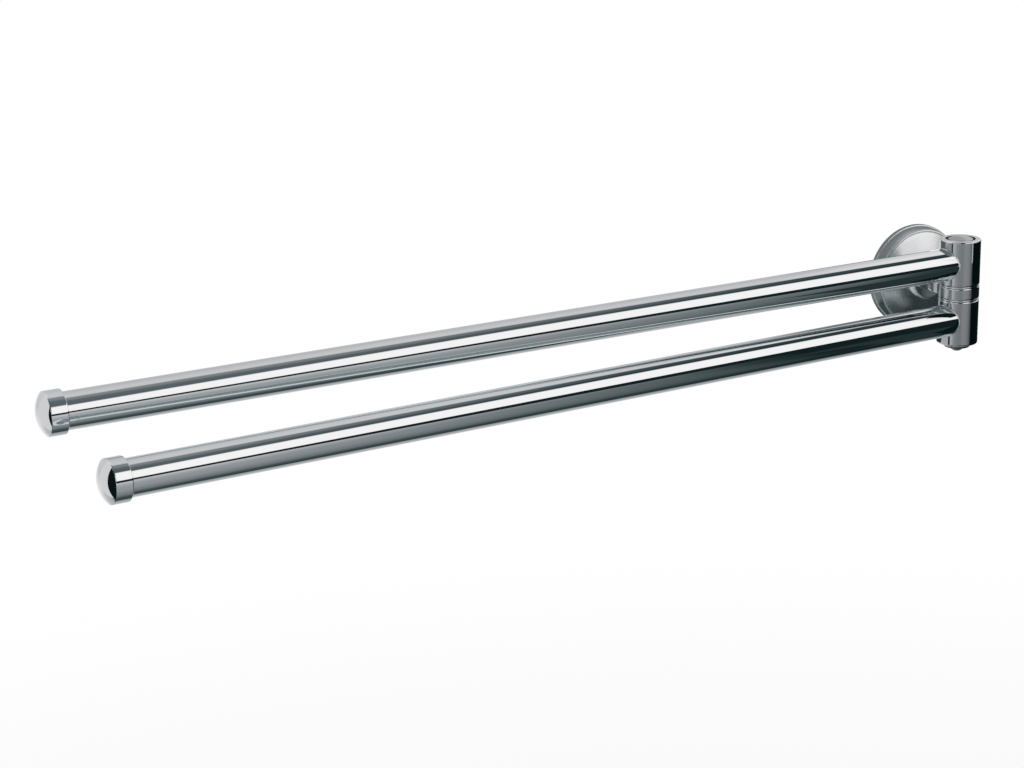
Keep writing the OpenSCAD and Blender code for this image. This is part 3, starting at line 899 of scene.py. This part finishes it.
class TOWELBAR_OT_tubes(bpy.types.Operator):
    """Make the two arm tubes, coped where they meet their barrels"""

    bl_idname = "towelbar.tubes"
    bl_label = "Tubes"

    def execute(self, context):
        size = context.scene.towelbar_arms
        finish = tube_chrome(context.scene.towelbar_finishes)
        edge = size.cope_edge
        outer = size.tube_radius
        bore = outer - size.tube_wall
        start_rows = np.vstack([
            [[bore, 0.0], [bore + HOLD, 0.0], [outer - edge - HOLD, 0.0]],
            bend(outer - edge, edge, edge, -90, 0, 6),
            [[outer, edge + HOLD]],
        ])
        hole = BARREL_RADIUS + size.screw_distance
        reach = size.lower_reach
        near = (np.arange(-HOLE_ROWS, HOLE_ROWS + 1) * HOLE_ROW_STEP
                + size.screw_distance - size.cope_gap) / reach
        along = np.unique(np.concatenate([
            np.linspace(0, 1, TUBE_ROWS)[1:-1], near, [1 - HOLD / reach, 1.0]]))
        radii = np.concatenate([
            start_rows[:, 0], np.full(len(along), outer), np.full(len(along), bore)])[:, None]
        offset = np.concatenate([start_rows[:, 1], np.zeros(2 * len(along))])[:, None]
        along = np.concatenate([np.zeros(len(start_rows)), along, along[::-1]])[:, None]
        v = round_angles(half=0.35, step=0.0125)
        for side, arm in ((1, "upper"), (-1, "lower")):
            begin = tube_start(size, radii, side, v)
            end = arm_reach(size, side) - size.cap_end
            heights = begin + offset + along * (end - begin)
            sunk = drilled(radii, heights, v, hole, size.screw_hole_radius, bore + HOLD)
            grid = turned(along_arm(size, side), sunk, heights, v)
            chromed_piece(arm + "_tube_skin", [(grid, True)],
                          arm + "_arm", [arm + "_tube"], finish)
            self.bead(size, side, arm, finish)
        return {"FINISHED"}

    def bead(self, size, side, arm, finish):
        """The thin polished bead where a tube meets its barrel.

        It follows the saddle curve of the cope. At angle u of its own round section, with
        b its radius and s its sunk share, the distance from the tube's axis is R - s b +
        b cos u, and the height is the saddle's height there + b + b sin u.
        """
        u = np.linspace(0, 2 * math.pi, BEAD_POINTS, endpoint=False)[:, None]
        v = round_angles()
        middle = size.tube_radius - BEAD_SINK * size.bead_radius
        radii = middle + size.bead_radius * np.cos(u)
        rise = size.bead_radius * (1.0 + np.sin(u))
        heights = tube_start(size, radii, side, v) - size.cope_gap + rise
        grid = turned(along_arm(size, side), radii, heights, v)
        chromed_piece(arm + "_cope_bead", [(grid, True)], arm + "_arm", [], finish)


class TOWELBAR_OT_caps(bpy.types.Operator):
    """Make the two end caps with their skirts and domed faces"""

    bl_idname = "towelbar.caps"
    bl_label = "End caps"

    def execute(self, context):
        size = context.scene.towelbar_arms
        finish = tube_chrome(context.scene.towelbar_finishes)
        edge = size.cap_edge
        for side, arm in ((1, "upper"), (-1, "lower")):
            reach = arm_reach(size, side)
            skirt = reach - size.cap_skirt
            floor = reach - size.cap_end
            pin_end = floor - size.cap_pin_length
            profile = profile_of(
                False,
                [[0, pin_end], [size.cap_pin_radius, pin_end], [size.cap_pin_radius, floor],
                 [size.cap_bore, floor], [size.cap_bore, skirt]],
                bend(size.cap_radius - edge, skirt + edge, edge, -90, 0),
                domed_end(size.cap_radius, edge, reach - edge, reach + size.cap_dome, 36),
            )
            chromed_piece(arm + "_cap", [(lathed(along_arm(size, side), profile), False)],
                          arm + "_arm", [arm + "_end_cap"], finish)
        return {"FINISHED"}


class TOWELBAR_OT_fittings(bpy.types.Operator):
    """Give the fittings that keep their CAD shapes their plated, black and acetal finishes"""

    bl_idname = "towelbar.fittings"
    bl_label = "Fittings' finishes"

    def execute(self, context):
        finishes = context.scene.towelbar_finishes
        zinc = steel_finish("zinc_plate", finishes.zinc, 0.34, metallic=1.0, bloom=0.14)
        # Painted shade: the washers inside the recesses get the zinc darkened for the shade in
        # the recesses
        recess_shaded_zinc = steel_finish("zinc_painted_recess_shade", finishes.zinc, 0.45, metallic=1.0, bloom=0.2,
                            shade=RECESS_PAINTED_SHADE)
        oxide = steel_finish("black_oxide", finishes.oxide, 0.42, metallic=0.9, bloom=0.25)
        acetal = acetal_finish("turned_acetal", finishes.acetal)
        kinds = {
            "wall_plate": zinc, "stud_washer": zinc, "stud_nut": zinc,
            "pin_head_washer": recess_shaded_zinc, "pin_spring_washer": recess_shaded_zinc,
            "upper_spigot": zinc, "lower_spigot": zinc,
            "rose_set_screw": oxide, "upper_spigot_screw": oxide, "lower_spigot_screw": oxide,
            "upper_bushes": acetal, "lower_bushes": acetal,
            "upper_cap_plug": acetal, "lower_cap_plug": acetal,
        }
        for node, finish in kinds.items():
            slots = frame["nodes"][node].material_slots
            if not slots:
                raise RuntimeError(node + " has no material slot")
            for slot in slots:
                slot.link = "OBJECT"
                slot.material = finish
        return {"FINISHED"}


def studio_emission(shader, strength):
    """Emission whose darks are slate, mids a cool grey and lights white, by its strength.

    In rays mirrored twice it is cooler, to match what is mirrored once beside it.
    """
    tint = shader.ramp(shader.spread(strength, 0.0, BRIGHTEST, 0.0, 1.0),
                       [(level / BRIGHTEST, colour) for level, colour in TINTS])
    cool = shader.mix(shader.bounced(), WHITE, (0.90, 1.0, 1.03, 1.0))
    both = shader.mix(1.0, tint, cool, blend="MULTIPLY")
    return shader.add("ShaderNodeEmission", {"Color": both, "Strength": strength}).outputs[0]


class PanelMap:
    """Where a point of the light panels is, and values that change with it.

    across is how far it is towards +X, from -1 to 1. angle is in degrees about the X axis:
    0 at the room's horizon, 90 overhead, -90 straight down and 180 behind the wall.
    """

    def __init__(self, shader):
        self.shader = shader
        unit = shader.add("ShaderNodeVectorMath", {0: shader.place()}, operation="NORMALIZE")
        split = shader.add("ShaderNodeSeparateXYZ", {"Vector": unit.outputs[0]}).outputs
        turn = shader.maths("ARCTAN2", split["Z"], shader.times(split["Y"], -1.0))
        self.across = split["X"]
        self.angle = shader.times(turn, math.degrees(1.0))

    def by_angle(self, stops):
        """A value with a stop at each of some angles."""
        return self.shader.ramp(self.shader.spread(self.angle, -180.0, 180.0, 0.0, 1.0),
                                [((a + 180.0) / 360.0, value) for a, value in stops])

    def by_across(self, stops):
        """A value with a stop at each of some places across."""
        return self.shader.ramp(self.shader.spread(self.across, -1.0, 1.0, 0.0, 1.0),
                                [((a + 1.0) / 2.0, value) for a, value in stops])

    def over(self, edge, soft):
        """1 where the angle is over an edge, 0 under it."""
        above = self.shader.maths("SUBTRACT", self.angle, edge)
        return self.shader.spread(above, -soft, soft, 0.0, 1.0, smooth=True)


def panel_light(softbox):
    """Emission of the light panels, seen only in the chrome, where 1 is white.

    A softbox with slanting long edges runs along the middle, and a black block stands
    before it, left of the middle. Above the softbox are a grey roof and a white wall. Below
    it are a black line, a grey floor that darkens to the right, and the light floor behind,
    both black at the far right. The far left is white. Where chrome mirrors other chrome,
    the left and the middle are an even light, brighter below the softbox, and the far left
    is dark below it.
    """
    material, shader = finish_named("studio_panels")
    panels = PanelMap(shader)
    across = panels.across
    times = shader.times
    rest = shader.rest

    # The softbox's long edges in degrees are 9 x + 10 and x (50 - 20 x) + 43, with x across
    # but not under -0.2
    right = shader.maths("MAXIMUM", across, -0.2)
    low_edge = shader.maths("ADD", times(right, 9.0), 10.0)
    slope = shader.maths("SUBTRACT", 50.0, times(right, 20.0))
    top_edge = shader.maths("ADD", times(right, slope), 43.0)
    under = rest(panels.over(low_edge, soft=0.8))
    above = panels.over(top_edge, soft=3.5)
    box = times(rest(under), rest(above), softbox)

    floor_edge = shader.spread(across, 0.30, 0.58, 2.5, -5.0)
    floor = times(
        panels.by_angle([
            (-99, 0.0), (-96, 0.07), (-84, 0.095), (-76, 0.12), (-70, 0.21), (-64, 0.28),
            (-52, 0.37), (-36, 0.48), (-20, 0.53), (-8, 0.66), (-3, 0.84), (1.5, 0.80),
            (2.5, 0.02), (60, 0.02)]),
        panels.by_across([
            (-0.95, 1.9), (-0.80, 1.40), (-0.62, 1.0), (-0.35, 0.86), (-0.15, 1.0),
            (-0.05, 1.08), (0.2, 1.0), (0.3, 0.95), (0.4, 0.80), (0.5, 0.58), (0.6, 0.32),
            (0.64, 0.12), (0.68, 0.03)]),
        rest(panels.over(floor_edge, soft=0.8)))
    back = times(
        panels.by_angle([
            (-180, 0.72), (-163, 0.92), (-150, 1.0), (-140, 0.90), (-128, 0.70),
            (-110, 0.64), (-104, 0.56), (-99, 0.46), (-95, 0.0)]),
        panels.by_across([
            (-0.25, 1.12), (-0.05, 1.0), (0.3, 1.0), (0.5, 0.88), (0.6, 0.62), (0.64, 0.20),
            (0.68, 0.02)]))
    roof = times(
        panels.by_angle([
            (40, 0.17), (62, 0.18), (72, 0.20), (80, 0.33), (86, 0.33), (92, 0.36),
            (94, 0.40), (97, 0.0)]),
        panels.by_across([
            (0.0, 1.15), (0.2, 1.0), (0.3, 0.80), (0.4, 0.60), (0.5, 0.35), (0.6, 0.20)]))
    wall = times(
        panels.by_angle([
            (92, 0.0), (97, 0.90), (101, 0.95), (118, 0.92), (130, 0.84), (150, 0.74),
            (180, 0.72)]),
        panels.by_across([(-0.25, 1.25), (-0.05, 1.0), (0.48, 1.0), (0.56, 1.30)]))
    lower = times(under, shader.maths("ADD", floor, back))
    upper = times(above, shader.maths("ADD", roof, wall))
    total = shader.maths("ADD", shader.maths("ADD", box, lower), upper)

    block = times(
        panels.by_across([(-0.53, 0.0), (-0.50, 1.0), (-0.15, 1.0), (-0.10, 0.0)]),
        panels.over(3.0, soft=1.5), rest(panels.over(82.0, soft=3.0)))
    total = times(total, rest(times(block, BLOCK_DEPTH)))

    bounced = shader.bounced()
    again = times(bounced, shader.spread(across, 0.30, 0.50, 1.0, 0.0, smooth=True))
    even = shader.spread(under, 0.0, 1.0, 0.62, 1.60)
    total = shader.maths("ADD", times(total, rest(again)), times(again, even))
    far = shader.spread(across, -0.87, -0.80, 1.0, 0.0, smooth=True)
    tips = shader.spread(times(bounced, under), 0.0, 1.0, 1.04, 0.10)
    total = shader.maths("ADD", times(total, rest(far)), times(far, tips))
    shader.output(studio_emission(shader, shader.maths("MAXIMUM", total, DARKEST)))
    material.cycles.emission_sampling = "NONE"
    return material


def card_light(name, strength, twice, on_wall_side):
    """Emission of a card near the bar: its own strength, and that in rays mirrored twice.

    A card on the wall is clear from behind and behind the rose, and fades out towards -X.
    """
    material, shader = finish_named(name)
    place = shader.place()
    cloud = shader.noise(place, scale=4.0, detail=2.0)
    own = shader.spread(
        cloud, 0.3, 0.7, strength * (1 - CARD_CLOUD), strength * (1 + CARD_CLOUD))
    surface = studio_emission(shader, shader.spread(shader.bounced(), 0.0, 1.0, own, twice))
    if on_wall_side:
        split = shader.add("ShaderNodeSeparateXYZ", {"Vector": place})
        left = shader.spread(split.outputs["X"], *CARD_FADE, 1.0, 0.0, smooth=True)
        flat = shader.add("ShaderNodeVectorMath", {0: place, 1: (1.0, 0.0, 1.0)},
                          operation="MULTIPLY").outputs[0]
        away = shader.add("ShaderNodeVectorMath", {0: flat}, operation="LENGTH")
        hidden = shader.maths(
            "MAXIMUM", shader.add("ShaderNodeNewGeometry").outputs["Backfacing"],
            shader.maths("LESS_THAN", away.outputs["Value"], ROSE_RADIUS))
        clear = shader.add("ShaderNodeBsdfTransparent")
        surface = shader.add("ShaderNodeMixShader", {
            0: shader.maths("MAXIMUM", left, hidden), 1: surface, 2: clear.outputs[0],
        }).outputs[0]
    shader.output(surface)
    material.cycles.emission_sampling = "NONE"
    return material


def stage_piece(name, points, rows, columns, material):
    """Makes one smooth stage object from a grid of points."""
    faces = open_grid_faces(rows, columns)
    piece = linked(name, smooth_mesh(name, points.reshape(-1, 3), faces, material))
    return piece


def only_in_chrome(piece):
    """Shows a stage object to mirror rays alone."""
    piece.visible_camera = False
    piece.visible_diffuse = False
    piece.visible_transmission = False
    piece.visible_volume_scatter = False
    piece.visible_shadow = False


class TOWELBAR_OT_stage(bpy.types.Operator):
    """Make the floor, light panels, cards, lamp, white surroundings and camera"""

    bl_idname = "towelbar.stage"
    bl_label = "Stage"

    def execute(self, context):
        studio = context.scene.towelbar_studio
        self.make_floor(studio)
        self.make_panels(studio)
        self.make_cards(studio)
        self.make_surroundings(context)
        self.make_lamp()
        self.make_camera(context, studio)
        context.scene.view_settings.view_transform = "Standard"
        return {"FINISHED"}

    def make_floor(self, studio):
        """A wide pale disc, white to the camera far out, that keeps soft shadows near by.

        point(u, v) = (r(u) cos v, r(u) sin v, height), with r growing by even factors.
        """
        rings = 22
        spokes = 97
        r = np.concatenate([[0.0], np.geomspace(0.2, 40.0, rings)])
        v = np.linspace(0, 2 * math.pi, spokes)
        points = np.stack([
            np.outer(r, np.cos(v)), np.outer(r, np.sin(v)),
            np.full((len(r), len(v)), studio.floor_height)], axis=2)
        material, shader = finish_named("pale_floor")
        place = shader.place()
        cloud = shader.noise(place, scale=3.0, detail=3.0)
        tint = shader.mix(cloud, opaque(studio.floor_tone, 0.99), opaque(studio.floor_tone))
        paint = shader.add("ShaderNodeBsdfDiffuse", {"Color": tint})
        white = shader.add("ShaderNodeEmission", {"Color": WHITE, "Strength": 1.0})
        away = shader.add("ShaderNodeVectorMath", {0: place}, operation="LENGTH")
        whiteness = shader.spread(away.outputs["Value"], 1.1, 2.2, 0.7, 1.0, smooth=True)
        fade = shader.times(whiteness, shader.seen_directly())
        shader.output(shader.add("ShaderNodeMixShader", {
            0: fade, 1: paint.outputs[0], 2: white.outputs[0]}).outputs[0])
        floor = stage_piece("studio_floor", points, len(r), len(v), material)
        floor.visible_glossy = False

    def make_panels(self, studio):
        """Light panels all round the bar.

        point(u, v) = distance (cos u, -sin u cos v, sin u sin v), with u from +X to -X
        and v about the X axis from behind, past the floor, the room and the roof.
        """
        rows = 97
        columns = 289
        u = np.linspace(0.0, math.pi, rows)[:, None]
        v = np.radians(np.linspace(-180.0, 180.0, columns))[None, :]
        points = studio.panel_distance * np.stack([
            np.cos(u) + 0 * v, -np.sin(u) * np.cos(v), np.sin(u) * np.sin(v)], axis=2)
        only_in_chrome(stage_piece(
            "studio_panels", points, rows, columns, panel_light(studio.softbox)))

    def make_cards(self, studio):
        """Small black, slate, grey and white cards near the bar, seen only in the chrome as
        painted reflections of the light and shade round it.

        Each is a flat grid: point(u, v) = corner + u side + v other side.
        """
        steps = 5
        u = np.linspace(0, 1, steps)[:, None, None]
        v = np.linspace(0, 1, steps)[None, :, None]

        def card(name, corner, side, other, strength, twice, on_wall_side=False):
            """One card from its corner and its two sides."""
            points = np.array(corner) + u * np.array(side) + v * np.array(other)
            only_in_chrome(stage_piece(
                name, points, steps, steps, card_light(name, strength, twice, on_wall_side)))

        card("side_card", studio.side_card, (0, -0.115, 0), (0, 0, 0.39),
             strength=0.012, twice=0.60)
        # Painted reflection of the wall in shade round the rose
        card("wall_card", studio.wall_card, (0.15, 0, 0), (0, 0, 0.072),
             strength=0.27, twice=0.27, on_wall_side=True)
        card("low_card", studio.low_card, (0.105, 0, 0), (0, 0.15, 0),
             strength=0.050, twice=0.060)
        # Painted highlight: the white glint card and the back card make the bright zone on the
        # rose
        card("glint_card", studio.glint_card, (0.064, 0, 0), (0, 0, 0.042),
             strength=1.30, twice=1.00)
        card("back_card", studio.back_card, (0.018, 0, 0), (0, 0, 0.017),
             strength=1.15, twice=0.30)
        card("under_card", studio.under_card, (0.055, 0, 0), (0, 0, 0.048),
             strength=0.045, twice=0.045)
        # Painted reflection of the darker wall below the rose
        card("foot_card", studio.foot_card, (0.090, 0, 0), (0, 0, 0.024),
             strength=0.075, twice=0.075, on_wall_side=True)
        # Painted shade: the black flank cards make the barrels' sides towards +X mirror black
        card("flank_card_high", studio.high_flank_card, (0, 0.020, 0), (0, 0, 0.0255),
             strength=0.012, twice=0.020)
        card("flank_card_low", studio.low_flank_card, (0, 0.020, 0), (0, 0, -0.0415),
             strength=0.012, twice=0.020)

    def make_surroundings(self, context):
        """White to camera, glossy and transmission rays, and a plain grey light to the rest."""
        world = context.scene.world or bpy.data.worlds.new("studio_world")
        context.scene.world = world
        world.use_nodes = True
        shader = Shader(world.node_tree)
        soft = shader.add("ShaderNodeBackground", {"Color": WHITE, "Strength": 0.8})
        white = shader.add("ShaderNodeBackground", {"Color": WHITE, "Strength": 1.0})
        mixed = shader.add("ShaderNodeMixShader", {
            0: shader.seen_directly(), 1: soft.outputs[0], 2: white.outputs[0]})
        shader.output(mixed.outputs[0], "ShaderNodeOutputWorld")

    def make_lamp(self):
        """One large soft lamp above and in front, too even to leave its shape in the chrome."""
        lamp = bpy.data.lights.new("overhead_lamp", "AREA")
        lamp.shape = "RECTANGLE"
        lamp.size = 2.4
        lamp.size_y = 1.6
        lamp.energy = 14.0
        holder = linked("overhead_lamp", lamp)
        holder.location = (-0.4, -1.1, 1.6)
        holder.rotation_euler = (math.radians(35), 0.0, math.radians(-12))
        holder.visible_glossy = False

    def make_camera(self, context, studio):
        """The photograph's camera: heading, tilt and roll as a right, up and back triad."""
        heading, tilt, roll = studio.camera_turn
        ahead = np.array([math.sin(heading) * math.cos(tilt),
                          math.cos(heading) * math.cos(tilt), -math.sin(tilt)])
        level = np.array([math.cos(heading), -math.sin(heading), 0.0])
        upright = np.cross(level, ahead)
        right = math.cos(roll) * level + math.sin(roll) * upright
        up = math.cos(roll) * upright - math.sin(roll) * level
        matrix = Matrix.Identity(4)
        for column, axis in enumerate((right, up, -ahead, np.array(studio.camera_place))):
            for row in range(3):
                matrix[row][column] = axis[row]
        data = bpy.data.cameras.new("studio_camera")
        data.sensor_fit = "HORIZONTAL"
        data.sensor_width = 36.0
        data.lens = studio.camera_lens
        data.clip_start = 0.01
        data.clip_end = 200.0
        camera = linked("studio_camera", data)
        camera.matrix_world = matrix
        context.scene.camera = camera


STEPS = (
    TOWELBAR_OT_rose, TOWELBAR_OT_collar, TOWELBAR_OT_washers, TOWELBAR_OT_barrels,
    TOWELBAR_OT_pin, TOWELBAR_OT_tubes, TOWELBAR_OT_caps, TOWELBAR_OT_fittings,
    TOWELBAR_OT_stage,
)
GROUPS = {
    "towelbar_wall": TowelBarWallSizes,
    "towelbar_hinge": TowelBarHingeSizes,
    "towelbar_arms": TowelBarArmSizes,
    "towelbar_finishes": TowelBarFinishes,
    "towelbar_studio": TowelBarStudio,
}


class TOWELBAR_PT_panel(bpy.types.Panel):
    """Sizes, finishes and steps of the towel bar"""

    bl_idname = "TOWELBAR_PT_panel"
    bl_label = "Swing Arm Towel Bar"
    bl_space_type = "VIEW_3D"
    bl_region_type = "UI"
    bl_category = "Towel Bar"

    def draw(self, context):
        for name in GROUPS:
            box = self.layout.box()
            group = getattr(context.scene, name)
            for key in group.__annotations__:
                box.prop(group, key)
        for step in STEPS:
            self.layout.operator(step.bl_idname)


CLASSES = (*GROUPS.values(), *STEPS, TOWELBAR_PT_panel)


def register():
    """Registers the classes and hangs the settings on the scene."""
    for cls in CLASSES:
        bpy.utils.register_class(cls)
    for name, group in GROUPS.items():
        setattr(bpy.types.Scene, name, bpy.props.PointerProperty(type=group))


def unregister():
    """Takes the settings off the scene and unregisters the classes."""
    for name in GROUPS:
        delattr(bpy.types.Scene, name)
    for cls in reversed(CLASSES):
        bpy.utils.unregister_class(cls)


def main():
    """Runs every step in order."""
    register()
    bpy.ops.towelbar.rose()
    bpy.ops.towelbar.collar()
    bpy.ops.towelbar.washers()
    bpy.ops.towelbar.barrels()
    bpy.ops.towelbar.pin()
    bpy.ops.towelbar.tubes()
    bpy.ops.towelbar.caps()
    bpy.ops.towelbar.fittings()
    bpy.ops.towelbar.stage()


if __name__ == "__main__":
    main()
